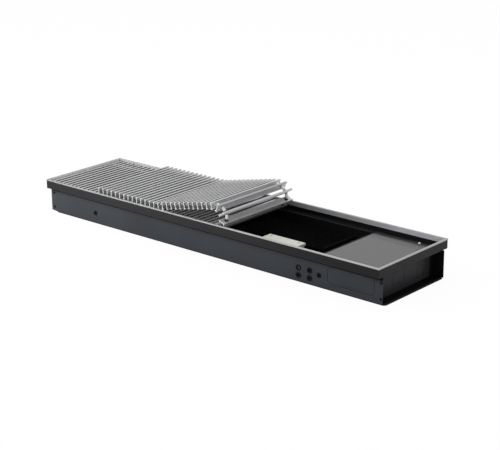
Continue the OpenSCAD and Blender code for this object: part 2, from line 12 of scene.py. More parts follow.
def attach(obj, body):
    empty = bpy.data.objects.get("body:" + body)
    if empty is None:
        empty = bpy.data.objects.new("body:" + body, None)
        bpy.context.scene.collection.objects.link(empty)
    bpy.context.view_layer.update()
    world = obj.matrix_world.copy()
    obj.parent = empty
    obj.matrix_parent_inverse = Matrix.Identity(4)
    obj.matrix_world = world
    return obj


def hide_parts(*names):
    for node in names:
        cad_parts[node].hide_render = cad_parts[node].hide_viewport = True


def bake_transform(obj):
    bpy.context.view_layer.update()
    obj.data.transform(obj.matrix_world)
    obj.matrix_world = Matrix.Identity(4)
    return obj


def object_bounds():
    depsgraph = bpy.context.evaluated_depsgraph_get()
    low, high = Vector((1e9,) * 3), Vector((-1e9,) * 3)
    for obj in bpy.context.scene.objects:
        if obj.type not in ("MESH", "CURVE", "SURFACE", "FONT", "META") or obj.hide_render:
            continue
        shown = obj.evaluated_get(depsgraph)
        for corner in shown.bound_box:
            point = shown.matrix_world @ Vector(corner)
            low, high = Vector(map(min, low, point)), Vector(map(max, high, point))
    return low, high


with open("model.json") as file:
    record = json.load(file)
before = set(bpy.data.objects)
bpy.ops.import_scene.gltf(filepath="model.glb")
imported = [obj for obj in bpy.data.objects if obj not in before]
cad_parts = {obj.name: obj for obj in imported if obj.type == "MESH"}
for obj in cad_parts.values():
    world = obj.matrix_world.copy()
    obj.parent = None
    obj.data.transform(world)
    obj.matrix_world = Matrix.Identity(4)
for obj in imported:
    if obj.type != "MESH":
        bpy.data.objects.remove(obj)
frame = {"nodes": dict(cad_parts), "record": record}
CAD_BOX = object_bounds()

bl_info = {
    "name": "Trench convector heater",
    "version": (1, 0, 0),
    "blender": (4, 5, 0),
    "location": "3D View > Sidebar > Heater",
    "description": "Finishes a trench convector heater over its packed frame",
    "category": "Object",
}

MM = 0.001

# The grille, in millimetres, as the frame has it
PITCH = 13.9
BAR_W = 5.5
WEB = 2.0
RING_END = 3.0
SLEEVE_LEN = 9.8
CORD_Y = 103.0
WIRE_Z = 73.0
LAST_LAID_X = 27.8

# Turn of each folded bar against the bar before it, in degrees, and the height above the
# cords of the line that it turns about
TURNS = (5.0, 26.0, 35.0, 56.0, 36.0, 27.0)
BEND_LIFT = 6.0

# The bare springs of the fold: play at their ends, the shortest that is made, and how far
# their curve keeps to the direction that it starts in
SPRING_PLAY = 0.1
SPRING_LEAST = 0.6
SPRING_TANGENT = 1.1

# The trough, in millimetres, as the frame has it: the middles of its upright sheets, its
# ledge, the end of its front sheet, and the end that the photo shows on its back sheet
WALL_MID_X = 473.9
WALL_MID_Y = 106.4
UPSTAND_MID_X = 498.8
UPSTAND_MID_Y = 123.8
LEDGE_Z = 63.0
FRONT_END_X = 496.5
BACK_END_X = 502.9
SAME_PLACE = 0.01

# Where finishes change, in millimetres: the painted shade under the raised edge with its soft
# fade, the open end of the back sheet's inner face, the base plate's end strip, painted paler
# than the plate's painted shade, the raised edge's painted highlight in its middle, the
# painted shade on the front rim's left, the rim's inner lips with their painted reflections,
# and the valves' ringed ports and their backs, painted black as shade
UNDER_EDGE_Z = 53.4
UNDER_EDGE_FADE = 8.0
BACK_INNER_Y = 94.4
PAST_SHEET = 0.2
PLATE_END_X = 497.0
PALE_MID_X = -80.0
PALE_HALF = 200.0
PALE_REACH = 420.0
SHADE_FROM_X = -500.0
SHADE_TO_X = 150.0
LIP_X = 496.8
LIP_Y = 121.8
LIP_TOP = 84.6
PORT_X = 391.0
DARK_BRASS_X = 318.0

# Shares and gains of those changes
UNDER_FADE_SHARE = 0.3
FRONT_SHADE_SHARE = 0.36
SHADE_GAIN = 0.1
# The gain that blackens the copper's coat, partly painted shade, and the brass behind the
# partition as painted shade
BLACK_GAIN = 0.02

# Levels on two folded bars' own height, in millimetres, each with the share of painted shade
# that is added below it
SHADE_STEPS = {
    2: ("bar_two", (1.5, 0.6), (-4.6, 0.4)),
    5: ("bar_five", (-6.3, 0.4)),
}

# Radius of the rounded edges of each small node, in millimetres
EDGES = {
    "cover_plate": 0.2,
    "rubber_strips": 0.2,
    "rivets": 0.3,
    "hole_plugs": 0.4,
    "grommets": 0.5,
    "level_screws": 0.3,
    "level_nuts": 0.4,
    "cover_screws": 0.12,
    "fold_bar": 0.15,
    "exch_plates": 0.3,
    "supply_valve": 0.5,
    "return_valve": 0.5,
    "bleed_body": 0.3,
    "bleed_screw": 0.3,
    "valve_knob": 0.8,
    "lockshield_cap": 0.8,
    "box_body": 0.8,
    "box_screws": 0.2,
    "terminal_block": 0.4,
    "cable_glands": 0.6,
    "fan_housing": 0.3,
    "fan_plates": 0.3,
    "fan_motor": 1.0,
    "fan_bush": 0.4,
    "fan_feet": 0.5,
}

# The lamps: place and width in metres, and share of the key lamp's power
LAMPS = {
    "key": ((-2.2, -1.2, 2.2), 2.2, 1.0),
    "top": ((-0.5, 0.9, 2.6), 2.6, 0.6),
    "low": ((-0.9, -0.95, 0.35), 0.5, 0.3),
}

# The rest of the stage, in metres but for the sensor, and the floor's share of white in
# what the object mirrors
FLOOR_HALF = 14.0
FLOOR_GAP = 0.0005
CAMERA_AT = (2.1329, -2.4045, 1.1036)
SENSOR_MM = 36.0
FAR_CLIP = 100.0
FLOOR_MIRRORED = 0.3
SKY_COLOUR = (0.97, 0.985, 1.0, 1.0)


# ---------------------------------------------------------------- shader sums
class Wire:
    """A shader socket that sums and comparisons work on."""

    def __init__(self, finish, socket):
        self.finish = finish
        self.socket = socket

    def _sum(self, operation, *values):
        sockets = dict(enumerate(values))
        return self.finish.add("ShaderNodeMath", sockets, operation=operation)

    def __add__(self, other):
        return self._sum("ADD", self, other)

    __radd__ = __add__

    def __sub__(self, other):
        return self._sum("SUBTRACT", self, other)

    def __rsub__(self, other):
        return self._sum("SUBTRACT", other, self)

    def __mul__(self, other):
        return self._sum("MULTIPLY", self, other)

    __rmul__ = __mul__

    def __gt__(self, other):
        return self._sum("GREATER_THAN", self, other)

    def __lt__(self, other):
        return self._sum("LESS_THAN", self, other)

    def __abs__(self):
        return self._sum("ABSOLUTE", self)


class Nodes:
    """A node tree under construction, with its output."""

    def __init__(self, tree, output):
        self.tree = tree
        tree.nodes.clear()
        self.surface = tree.nodes.new(output).inputs["Surface"]

    def add(self, kind, sockets=None, out=0, **settings):
        """Any node by its type, its settings first, then its sockets' values or links."""
        node = self.tree.nodes.new(kind)
        for key, value in settings.items():
            setattr(node, key, value)
        for key, value in (sockets or {}).items():
            self.feed(node.inputs[key], value)
        return Wire(self, node.outputs[out])

    def feed(self, socket, value):
        """A link or a plain value into a socket."""
        if isinstance(value, Wire):
            self.tree.links.new(value.socket, socket)
        else:
            socket.default_value = value


class Finish(Nodes):
    """A node material under construction."""

    def __init__(self, name, **constants):
        self.material = bpy.data.materials.new(name)
        self.material.use_nodes = True
        super().__init__(self.material.node_tree, "ShaderNodeOutputMaterial")
        coat = self.add("ShaderNodeBsdfPrincipled")
        self.shader = coat.socket.node
        self.feed(self.surface, coat)
        for key, value in constants.items():
            self.shader.inputs[key.replace("_", " ")].default_value = value

    def vary(self, **links):
        """Links to the shader's sockets that a pattern may drive."""
        for key, value in links.items():
            self.feed(self.shader.inputs[key.replace("_", " ")], value)
        return self

    def place(self, scale=(1, 1, 1)):
        """The point on the piece, stretched."""
        where = self.add("ShaderNodeTexCoord", out="Object")
        return self.add("ShaderNodeMapping", {"Vector": where, "Scale": scale})

    def axes(self):
        """The point's three coordinates, in metres."""
        where = self.add("ShaderNodeTexCoord", out="Object")
        split = self.add("ShaderNodeSeparateXYZ", {"Vector": where})
        node = split.socket.node
        return [Wire(self, node.outputs[axis]) for axis in range(3)]

    def noise(self, scale, detail=3.0, rough=0.55, stretch=(1, 1, 1)):
        """A noise pattern over the piece."""
        return self.add(
            "ShaderNodeTexNoise",
            {
                "Vector": self.place(stretch),
                "Scale": scale,
                "Detail": detail,
                "Roughness": rough,
            },
        )

    def fit(self, value, low, high, to_low, to_high):
        """A value's range moved to another, held at its ends."""
        sockets = {0: value, 1: low, 2: high, 3: to_low, 4: to_high}
        return self.add("ShaderNodeMapRange", sockets, clamp=True)

    def colour_mix(self, share, one, two):
        """The first colour, with a share of the second."""
        sockets = {0: share, 6: one, 7: two}
        return self.add("ShaderNodeMix", sockets, out=2, data_type="RGBA")

    def bumped(self, height, strength, distance):
        """The surface's normal, tilted by a pattern of heights."""
        sockets = {"Height": height, "Strength": strength, "Distance": distance}
        return self.add("ShaderNodeBump", sockets, out="Normal")


def rgba(colour, gain=1.0):
    """A colour with its alpha, made lighter or darker by a gain."""
    return tuple(min(1.0, c * gain) for c in colour[:3]) + (1.0,)


# ---------------------------------------------------------------- finishes
def paint(
    name, colour, black, inside=None, roughness=0.36, gloss=0.15, pale=None, gain=1.8
):
    """Satin powder coat with an orange-peel skin, black as painted shade where a test of the
    point's axes says that shade falls in the trough, and painted paler as painted light where
    another test says so."""
    finish = Finish(name, Specular_IOR_Level=gloss)
    peel = finish.noise(900.0, 2.0)
    cloud = finish.noise(7.0, 4.0)
    dust = finish.fit(finish.noise(2600.0, 1.0), 0.72, 0.8, 0.0, 1.0)
    shade = finish.colour_mix(
        finish.fit(cloud, 0.3, 0.7, 0.0, 1.0), rgba(colour, 0.88), rgba(colour, 1.12)
    )
    if pale:
        shade = finish.colour_mix(pale(*finish.axes()), shade, rgba(colour, gain))
    shade = finish.colour_mix(dust * 0.25, shade, rgba(colour, 2.2))
    coat = finish.fit(cloud, 0.3, 0.7, roughness - 0.05, roughness + 0.06)
    if inside:
        shade_share = inside(*finish.axes())
        shade = finish.colour_mix(shade_share, shade, rgba(black))
        coat = coat + shade_share * 0.3
    return finish.vary(
        Base_Color=shade,
        Roughness=coat,
        Normal=finish.bumped(peel, 0.10, 0.00012),
    ).material


def trough_shade(x, y, z):
    """Painted shade: black behind the walls, on the ledge and under the raised edge, where
    shade falls in the trough, with a soft fade below the raised edge.
    """
    between = (abs(x) < WALL_MID_X * MM) + (y > BACK_INNER_Y * MM)
    behind = between * (abs(y) < WALL_MID_Y * MM) * (z < LEDGE_Z * MM)
    past_side = abs(y) > (WALL_MID_Y + PAST_SHEET) * MM
    past_end = abs(x) > (WALL_MID_X + PAST_SHEET) * MM
    # Painted shade under the raised edge, fading out downwards
    low, high = (UNDER_EDGE_Z - UNDER_EDGE_FADE) * MM, UNDER_EDGE_Z * MM
    fade = z.finish.fit(z, low, high, 0.0, UNDER_FADE_SHARE)
    return behind + (past_side + past_end) * (fade + (z > high))


def rim_inner_shade(x, y, z):
    """Painted shade: the inner faces of the raised edge, painted black."""
    return (abs(x) < UPSTAND_MID_X * MM) * (abs(y) < UPSTAND_MID_Y * MM)


def plate_end_light(x, y, z):
    """The strip of the base plate that stands out past the right end wall's flange, painted
    paler as painted light beside the plate's painted shade.
    """
    return x > PLATE_END_X * MM


def mid_front_light(x, y, z):
    """The middle of the raised edge, painted paler as painted light."""
    off_middle = abs(x - PALE_MID_X * MM)
    return x.finish.fit(off_middle, PALE_HALF * MM, PALE_REACH * MM, 1.0, 0.0)


def aluminium(name, colour, along, metal=0.9, roughness=0.32, lip=None, darkened=None):
    """Satin anodised extrusion with fine draw lines along one axis, a painted reflection in
    another colour on the rim's inner lip if one is given, and painted shade where a test of
    the point's axes says so."""
    finish = Finish(name, Metallic=metal)
    stretch = [1.0, 1.0, 1.0]
    stretch["XYZ".index(along)] = 0.012
    lines = finish.noise(2400.0, 3.0, 0.6, stretch)
    cloud = finish.noise(11.0, 3.0)
    shade = finish.colour_mix(
        finish.fit(cloud, 0.3, 0.7, 0.0, 1.0), rgba(colour, 0.94), rgba(colour, 1.04)
    )
    shade = finish.colour_mix(
        finish.fit(lines, 0.35, 0.65, 0.0, 0.35), shade, rgba(colour, 0.82)
    )
    # Painted reflection: the rim's inner lip takes a colour of its own
    if lip:
        x, y, z = finish.axes()
        inner = (abs(x) < LIP_X * MM) * (abs(y) < LIP_Y * MM) * (z < LIP_TOP * MM)
        shade = finish.colour_mix(inner, shade, rgba(lip))
    # Painted shade: darker where the test says so
    if darkened:
        shade = finish.colour_mix(darkened(*finish.axes()), shade, rgba(colour, SHADE_GAIN))
    return finish.vary(
        Base_Color=shade,
        Roughness=finish.fit(lines, 0.3, 0.7, roughness - 0.06, roughness + 0.08),
        Normal=finish.bumped(lines, 0.12, 0.00008),
    ).material


def left_front_shade(x, y, z):
    """Painted shade on the rim's front side toward its left end."""
    share = x.finish.fit(x, SHADE_FROM_X * MM, SHADE_TO_X * MM, FRONT_SHADE_SHARE, 0.0)
    return share * (y < 0.0)


def steel(name, colour, roughness=0.3):
    """Zinc plated or drawn steel with a faint crystalline mottle."""
    finish = Finish(name, Metallic=1.0)
    flakes = finish.add(
        "ShaderNodeTexVoronoi", {"Vector": finish.place(), "Scale": 700.0}, out="Distance"
    )
    cloud = finish.noise(160.0, 3.0)
    shade = finish.colour_mix(cloud, rgba(colour, 0.8), rgba(colour, 1.15))
    return finish.vary(
        Base_Color=shade,
        Roughness=finish.fit(flakes, 0.0, 0.7, roughness, roughness + 0.14),
        Normal=finish.bumped(cloud, 0.08, 0.0001),
    ).material


def rubber(name, colour):
    """Matt moulded rubber with a fine grain and a dusting of bloom."""
    finish = Finish(name, Specular_IOR_Level=0.12)
    grain = finish.noise(1500.0, 3.0)
    bloom = finish.fit(finish.noise(60.0, 4.0), 0.45, 0.75, 0.0, 0.5)
    return finish.vary(
        Base_Color=finish.colour_mix(bloom, rgba(colour), rgba(colour, 2.4)),
        Roughness=finish.fit(grain, 0.3, 0.7, 0.62, 0.78),
        Normal=finish.bumped(grain, 0.25, 0.0001),
    ).material


def moulded(name, colour, roughness=0.45):
    """Moulded plastic with a spark-eroded grain and a slight mottle."""
    finish = Finish(name, Specular_IOR_Level=0.4)
    grain = finish.noise(1900.0, 2.0)
    cloud = finish.noise(30.0, 3.0)
    return finish.vary(
        Base_Color=finish.colour_mix(cloud, rgba(colour, 0.93), rgba(colour, 1.05)),
        Roughness=finish.fit(grain, 0.3, 0.7, roughness - 0.05, roughness + 0.08),
        Normal=finish.bumped(grain, 0.18, 0.00008),
    ).material


def lacquer(name, colour, along="X"):
    """Thin matt black lacquer with rubbed patches."""
    finish = Finish(name, Specular_IOR_Level=0.1)
    stretch = [1.0, 1.0, 1.0]
    stretch["XYZ".index(along)] = 0.2
    rub = finish.fit(finish.noise(90.0, 4.0, 0.6, stretch), 0.55, 0.8, 0.0, 0.4)
    grain = finish.noise(1100.0, 2.0)
    return finish.vary(
        Base_Color=finish.colour_mix(rub, rgba(colour), rgba(colour, 2.6)),
        Roughness=finish.fit(grain, 0.3, 0.7, 0.5, 0.7),
        Normal=finish.bumped(grain, 0.12, 0.0001),
    ).material


def brass(name, colour):
    """Turned brass with lathe rings round the port and a warm tarnish, blackened as painted
    shade behind the partition."""
    finish = Finish(name, Metallic=1.0)
    x, _, _ = finish.axes()
    rings = finish.add(
        "ShaderNodeTexWave",
        {"Vector": finish.place(), "Scale": 220.0, "Distortion": 0.4},
        out="Fac",
        wave_type="BANDS",
        bands_direction="X",
    )
    port = x > PORT_X * MM
    tarnish = finish.fit(finish.noise(70.0, 4.0), 0.4, 0.7, 0.0, 0.6)
    # Painted shade: the brass behind the partition is blackened
    behind = x < DARK_BRASS_X * MM
    height = rings * (0.15 + port * 0.85)
    shade = finish.colour_mix(tarnish, rgba(colour), rgba(colour, 0.55))
    return finish.vary(
        Base_Color=finish.colour_mix(behind, shade, rgba(colour, BLACK_GAIN)),
        Roughness=finish.fit(tarnish, 0.0, 0.6, 0.24, 0.42),
        Normal=finish.bumped(height, 0.3, 0.0002),
    ).material


def copper(name, colour):
    """Drawn copper tube under a black coat, which also stands for the shade in the trough,
    with the metal showing through in streaks.
    """
    finish = Finish(name, Metallic=1.0)
    streaks = finish.noise(260.0, 4.0, 0.6, (0.08, 1, 1))
    stain = finish.fit(finish.noise(35.0, 4.0), 0.3, 0.5, 0.9, 1.0)
    return finish.vary(
        Base_Color=finish.colour_mix(stain, rgba(colour), rgba(colour, BLACK_GAIN)),
        Roughness=finish.fit(streaks, 0.3, 0.7, 0.26, 0.44),
        Normal=finish.bumped(streaks, 0.1, 0.0001),
    ).material


def floor_finish(colour, white):
    """Pale floor that the camera sees as white, with the object's soft shadow."""
    finish = Finish(
        "floor", Roughness=0.8, Specular_IOR_Level=0.1, Base_Color=rgba(colour)
    )
    shares = {
        "Is Camera Ray": white,
        "Is Glossy Ray": FLOOR_MIRRORED,
        "Is Transmission Ray": white,
    }
    seen = sum(
        finish.add("ShaderNodeLightPath", out=ray) * share for ray, share in shares.items()
    )
    coat = Wire(finish, finish.shader.outputs[0])
    glow = finish.add("ShaderNodeEmission", {"Strength": 1.0})
    finish.feed(finish.surface, finish.add("ShaderNodeMixShader", {0: seen, 1: coat, 2: glow}))
    return finish.material


# ---------------------------------------------------------------- piece helpers
def body_of(node):
    """The name of the body that a CAD node rides on."""
    for body, nodes in frame["record"]["behaviour"]["bodies"].items():
        if node in nodes:
            return body
    raise RuntimeError(f"no body carries {node}")


def dress(node, material):
    """A CAD node whose shape stays gets its finish."""
    piece = frame["nodes"][node]
    if not piece.material_slots:
        raise RuntimeError(f"{node} has no material slot")
    for spot in piece.material_slots:
        spot.material = material


def joined_copy(node):
    """A bmesh copy of a CAD node, with its loose triangles joined into faces."""
    shape = bmesh.new()
    shape.from_mesh(frame["nodes"][node].data)
    bmesh.ops.remove_doubles(shape, verts=shape.verts, dist=2e-6)
    bmesh.ops.dissolve_limit(
        shape, angle_limit=math.radians(0.6), verts=shape.verts, edges=shape.edges
    )
    return shape


def as_piece(shape, name, material):
    """A bmesh made into an object at the origin, smooth except at its sharp edges."""
    mesh = bpy.data.meshes.new(name)
    shape.to_mesh(mesh)
    shape.free()
    mesh.materials.append(material)
    mesh.shade_smooth()
    mesh.set_sharp_from_angle(angle=math.radians(34))
    piece = bpy.data.objects.new(name, mesh)
    bpy.context.scene.collection.objects.link(piece)
    return piece


def rounded(piece, width, segments=2):
    """A live bevel on the sharp edges, with its normals kept on the flats."""
    bevel = piece.modifiers.new("edge", "BEVEL")
    bevel.width = width
    bevel.segments = segments
    bevel.limit_method = "ANGLE"
    bevel.angle_limit = math.radians(34)
    bevel.harden_normals = True
    bevel.use_clamp_overlap = True
    bevel.miter_outer = "MITER_ARC"
    return piece


def stand_for(piece, node):
    """The piece takes a CAD node's place and body, and the node is hidden."""
    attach(piece, body_of(node))
    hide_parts(node)
    return piece


def refined(node, material, width=None, segments=2):
    """The piece that stands for a CAD node, with its edges rounded by the given radius or
    else by the one listed for it."""
    piece = as_piece(joined_copy(node), f"{node}_finished", material)
    rounded(piece, width or EDGES[node] * MM, segments)
    return stand_for(piece, node)


def plain(node, material):
    """The piece that stands for a CAD node, smooth and with its edges as they are."""
    stand_for(as_piece(joined_copy(node), f"{node}_finished", material), node)


def islands(shape):
    """The connected groups of a bmesh's vertices."""
    left = set(shape.verts)
    groups = []
    while left:
        seed = left.pop()
        group, reached = {seed}, [seed]
        while reached:
            for link in reached.pop().link_edges:
                for vert in link.verts:
                    if vert in left:
                        left.remove(vert)
                        group.add(vert)
                        reached.append(vert)
        groups.append(group)
    return groups


def parted(node, finishes):
    """Splits a cord node by how wide its solids are, one piece for each finish."""
    for name, material, slot, low, high in finishes:
        shape = joined_copy(node)
        wrong = []
        for group in islands(shape):
            ys = [vert.co.y for vert in group]
            if not low * MM <= max(ys) - min(ys) < high * MM:
                wrong.extend(group)
        bmesh.ops.delete(shape, geom=wrong, context="VERTS")
        if not shape.verts:
            shape.free()
            continue
        piece = as_piece(shape, f"{node}_{name}", material)
        stand_for(piece, node)


# ---------------------------------------------------------------- the folded grille
def turned(angle, x, z):
    """A step along and across, turned by an angle in degrees."""
    a = math.radians(angle)
    return x * math.cos(a) - z * math.sin(a), x * math.sin(a) + z * math.cos(a)


def at(place, x, z):
    """A point given in a bar's own axes, in the trough's."""
    dx, dz = turned(place[2], x, z)
    return place[0] + dx, place[1] + dz


def hop(place, turn):
    """The next bar over one flexing joint near the inner edge of the bars."""
    x, z = at(place, PITCH / 2, BEND_LIFT)
    dx, dz = turned(place[2] + turn, PITCH / 2, -BEND_LIFT)
    return x + dx, z + dz, place[2] + turn


def half_hop(place, turn, reach, rest):
    """Half of a wide turn, from a bar to a loose sleeve or from a sleeve to a bar."""
    x, z = at(place, reach, BEND_LIFT)
    dx, dz = turned(place[2] + turn / 2, rest, -BEND_LIFT)
    return x + dx, z + dz, place[2] + turn / 2


def fold_places():
    """The places of the fold's bars and loose sleeves, in order, with their bodies."""
    wide, slim = BAR_W / 2, (PITCH - BAR_W) / 2
    one = hop((LAST_LAID_X, WIRE_Z, 0.0), TURNS[0])
    two = hop(one, TURNS[1])
    three = hop(two, TURNS[2])
    link_one = half_hop(three, TURNS[3], wide, slim)
    four = half_hop(link_one, TURNS[3], slim, wide)
    link_two = half_hop(four, TURNS[4], wide, slim)
    five = half_hop(link_two, TURNS[4], slim, wide)
    six = hop(five, TURNS[5])
    return {
        "trough": (LAST_LAID_X, WIRE_Z, 0.0),
        "bar_one": one,
        "bar_two": two,
        "bar_three": three,
        "link_one": link_one,
        "bar_four": four,
        "link_two": link_two,
        "bar_five": five,
        "bar_six": six,
    }


def spring(start, end, radius, wire, turns, steps=10, sides=5):
    """A helical spring between two places along the cord, bent to leave along the first
    and arrive along the second. Returns its bmesh, on both cords."""
    (x0, z0, a0), (x1, z1, a1) = start, end
    span = math.hypot(x1 - x0, z1 - z0)
    shape = bmesh.new()
    section = bmesh.ops.create_circle(shape, segments=sides, radius=wire)
    upright = Matrix.Translation((0, 0, radius)) @ Matrix.Rotation(math.pi / 2, 4, "X")
    bmesh.ops.transform(shape, matrix=upright, verts=section["verts"])
    count = turns * steps
    bmesh.ops.spin(
        shape,
        geom=shape.edges[:],
        cent=(0, 0, 0),
        axis=(1, 0, 0),
        dvec=(span / count, 0, 0),
        angle=2 * math.pi * turns,
        steps=count,
    )
    ends = [edge for edge in shape.edges if edge.is_boundary]
    bmesh.ops.holes_fill(shape, edges=ends, sides=sides)
    tangent = span * SPRING_TANGENT
    p0, p1 = Vector((x0, 0, z0)), Vector((x1, 0, z1))
    m0 = Vector((math.cos(math.radians(a0)), 0, math.sin(math.radians(a0)))) * tangent
    m1 = Vector((math.cos(math.radians(a1)), 0, math.sin(math.radians(a1)))) * tangent
    for vert in shape.verts:
        t = min(1.0, max(0.0, vert.co.x / span))
        spot = (
            (2 * t**3 - 3 * t**2 + 1) * p0
            + (t**3 - 2 * t**2 + t) * m0
            + (3 * t**2 - 2 * t**3) * p1
            + (t**3 - t**2) * m1
        )
        ahead = (
            (6 * t**2 - 6 * t) * p0
            + (3 * t**2 - 4 * t + 1) * m0
            + (6 * t - 6 * t**2) * p1
            + (3 * t**2 - 2 * t) * m1
        ).normalized()
        above = Vector((-ahead.z, 0, ahead.x))
        over = vert.co.x - t * span
        bent = Matrix.Translation(spot + ahead * over + above * vert.co.z)
        bent.translation.y = vert.co.y
        vert.co = bent.translation
    shift = CORD_Y * MM
    twin = bmesh.ops.duplicate(shape, geom=shape.verts[:] + shape.edges[:] + shape.faces[:])
    twin_verts = [part for part in twin["geom"] if isinstance(part, bmesh.types.BMVert)]
    others = [vert for vert in shape.verts if vert not in set(twin_verts)]
    bmesh.ops.translate(shape, verts=twin_verts, vec=(0, shift, 0))
    bmesh.ops.translate(shape, verts=others, vec=(0, -shift, 0))
    bmesh.ops.recalc_face_normals(shape, faces=shape.faces[:])
    return shape


def shaded(bar, *steps):
    """A test that adds a share of painted shade under each given level of a folded bar's own
    height.
    """
    px, pz, angle = fold_places()[bar]
    a = math.radians(angle)

    def test(x, y, z):
        up = (z - pz * MM) * math.cos(a) - (x - px * MM) * math.sin(a)
        return sum((up < level * MM) * share for level, share in steps)

    return test


def scaled(place):
    """A place given in millimetres, in metres."""
    return place[0] * MM, place[1] * MM, place[2]


# ---------------------------------------------------------------- settings
class HeaterColours(bpy.types.PropertyGroup):
    """Colours of the finishes."""

    paint: FloatVectorProperty(
        name="Paint", description="Satin paint of the trough", subtype="COLOR",
        default=(0.028, 0.0315, 0.0375), min=0, max=1,
    )
    # Painted shade: a darker copy of the trough paint for the end walls
    end: FloatVectorProperty(
        name="End walls", description="Paint of the two end walls", subtype="COLOR",
        default=(0.023, 0.023, 0.025), min=0, max=1,
    )
    # The raised edge's own darker paint, deepened further as painted shade
    skirt: FloatVectorProperty(
        name="Skirt", description="Paint of the raised edge round the trough",
        subtype="COLOR", default=(0.0066, 0.0065, 0.0067), min=0, max=1,
    )
    # Near black as painted shade under and in the trough; its end strip is painted paler as
    # painted light
    base: FloatVectorProperty(
        name="Base", description="Paint of the plate under the trough",
        subtype="COLOR", default=(0.004, 0.004, 0.0042), min=0, max=1,
    )
    cover: FloatVectorProperty(
        name="Cover", description="Paint of the plate over the connections",
        subtype="COLOR", default=(0.038, 0.0365, 0.035), min=0, max=1,
    )
    aluminium: FloatVectorProperty(
        name="Aluminium", description="Anodised bars and rim", subtype="COLOR",
        default=(0.57, 0.57, 0.575), min=0, max=1,
    )
    rim: FloatVectorProperty(
        name="Rim", description="Anodised rim", subtype="COLOR",
        default=(0.4, 0.4, 0.405), min=0, max=1,
    )
    # Painted reflection on the inner lip of the rim's long sides
    back_lip: FloatVectorProperty(
        name="Back lip", description="Inner lip of the rim's long sides", subtype="COLOR",
        default=(0.49, 0.50, 0.52), min=0, max=1,
    )
    # Painted reflection on the inner lip of the rim's short sides, near white
    end_lip: FloatVectorProperty(
        name="End lip", description="Inner lip of the rim's short sides", subtype="COLOR",
        default=(0.92, 0.92, 0.93), min=0, max=1,
    )
    sleeve: FloatVectorProperty(
        name="Sleeves", description="Bright tubes between the bars", subtype="COLOR",
        default=(0.8, 0.8, 0.8), min=0, max=1,
    )
    # Black lacquer of the parts inside, kept near black to stand also for their shade, and the
    # black of the painted shade in the trough
    lacquer: FloatVectorProperty(
        name="Lacquer", description="Black coat of everything inside", subtype="COLOR",
        default=(0.0014, 0.0014, 0.0015), min=0, max=1,
    )
    rubber: FloatVectorProperty(
        name="Rubber", description="Strips, rings, grommets and feet", subtype="COLOR",
        default=(0.004, 0.004, 0.0042), min=0, max=1,
    )
    cream: FloatVectorProperty(
        name="Cream plastic", description="Control box", subtype="COLOR",
        default=(0.55, 0.55, 0.49), min=0, max=1,
    )
    white: FloatVectorProperty(
        name="White plastic", description="Valve caps and terminal block", subtype="COLOR",
        default=(0.74, 0.74, 0.72), min=0, max=1,
    )
    brass: FloatVectorProperty(
        name="Brass", description="Valves", subtype="COLOR",
        default=(0.55, 0.40, 0.17), min=0, max=1,
    )
    copper: FloatVectorProperty(
        name="Copper", description="Exchanger tubes", subtype="COLOR",
        default=(0.42, 0.19, 0.11), min=0, max=1,
    )
    steel: FloatVectorProperty(
        name="Steel", description="Screws, nuts and the spring cord", subtype="COLOR",
        default=(0.42, 0.42, 0.43), min=0, max=1,
    )


class HeaterSizes(bpy.types.PropertyGroup):
    """Sizes of what is added over the frame."""

    sheet_edge: FloatProperty(
        name="Sheet edge", description="Radius on the edges of sheet and extrusions",
        default=0.0003, min=0, unit="LENGTH", precision=5,
    )
    box_edge: FloatProperty(
        name="Box edge", description="Radius on the edges of the control box",
        default=0.0012, min=0, unit="LENGTH", precision=5,
    )
    spring_radius: FloatProperty(
        name="Spring radius", description="Middle radius of the spring cord's coil",
        default=0.00155, min=0.0005, unit="LENGTH", precision=5,
    )
    spring_wire: FloatProperty(
        name="Spring wire", description="Radius of the spring cord's wire",
        default=0.0004, min=0.0001, unit="LENGTH", precision=5,
    )
    spring_pitch: FloatProperty(
        name="Spring pitch", description="Length of cord for each turn of its coil",
        default=0.0011, min=0.0005, unit="LENGTH", precision=5,
    )


class HeaterStage(bpy.types.PropertyGroup):
    """The lamps, the floor and the camera."""

    floor: FloatVectorProperty(
        name="Floor", description="Colour of the floor", subtype="COLOR",
        default=(0.9, 0.9, 0.9), min=0, max=1,
    )
    floor_white: FloatProperty(
        name="Floor white", description="How far the camera sees the floor as white",
        default=0.96, min=0, max=1, subtype="FACTOR",
    )
    sky: FloatProperty(
        name="Sky", description="Strength of the even light all round",
        default=0.75, min=0,
    )
    key: FloatProperty(
        name="Key lamp", description="Power of the large soft lamp at the left",
        default=30.0, min=0, subtype="POWER",
    )
    azimuth: FloatProperty(
        name="Azimuth", description="How far the camera stands round from the front",
        default=0.7143346, subtype="ANGLE",
    )
    elevation: FloatProperty(
        name="Elevation", description="How far the camera stands above the floor",
        default=0.319232, subtype="ANGLE",
    )
    roll: FloatProperty(
        name="Roll", description="Tilt of the camera about its own line of sight",
        default=-0.006761, subtype="ANGLE",
    )
    lens: FloatProperty(
        name="Lens", description="Focal length on a 36 mm wide sensor",
        default=106.196, min=1, unit="CAMERA",
    )


def colours():
    """The scene's colours."""
    return bpy.context.scene.heater_colours


def sizes():
    """The scene's sizes."""
    return bpy.context.scene.heater_sizes


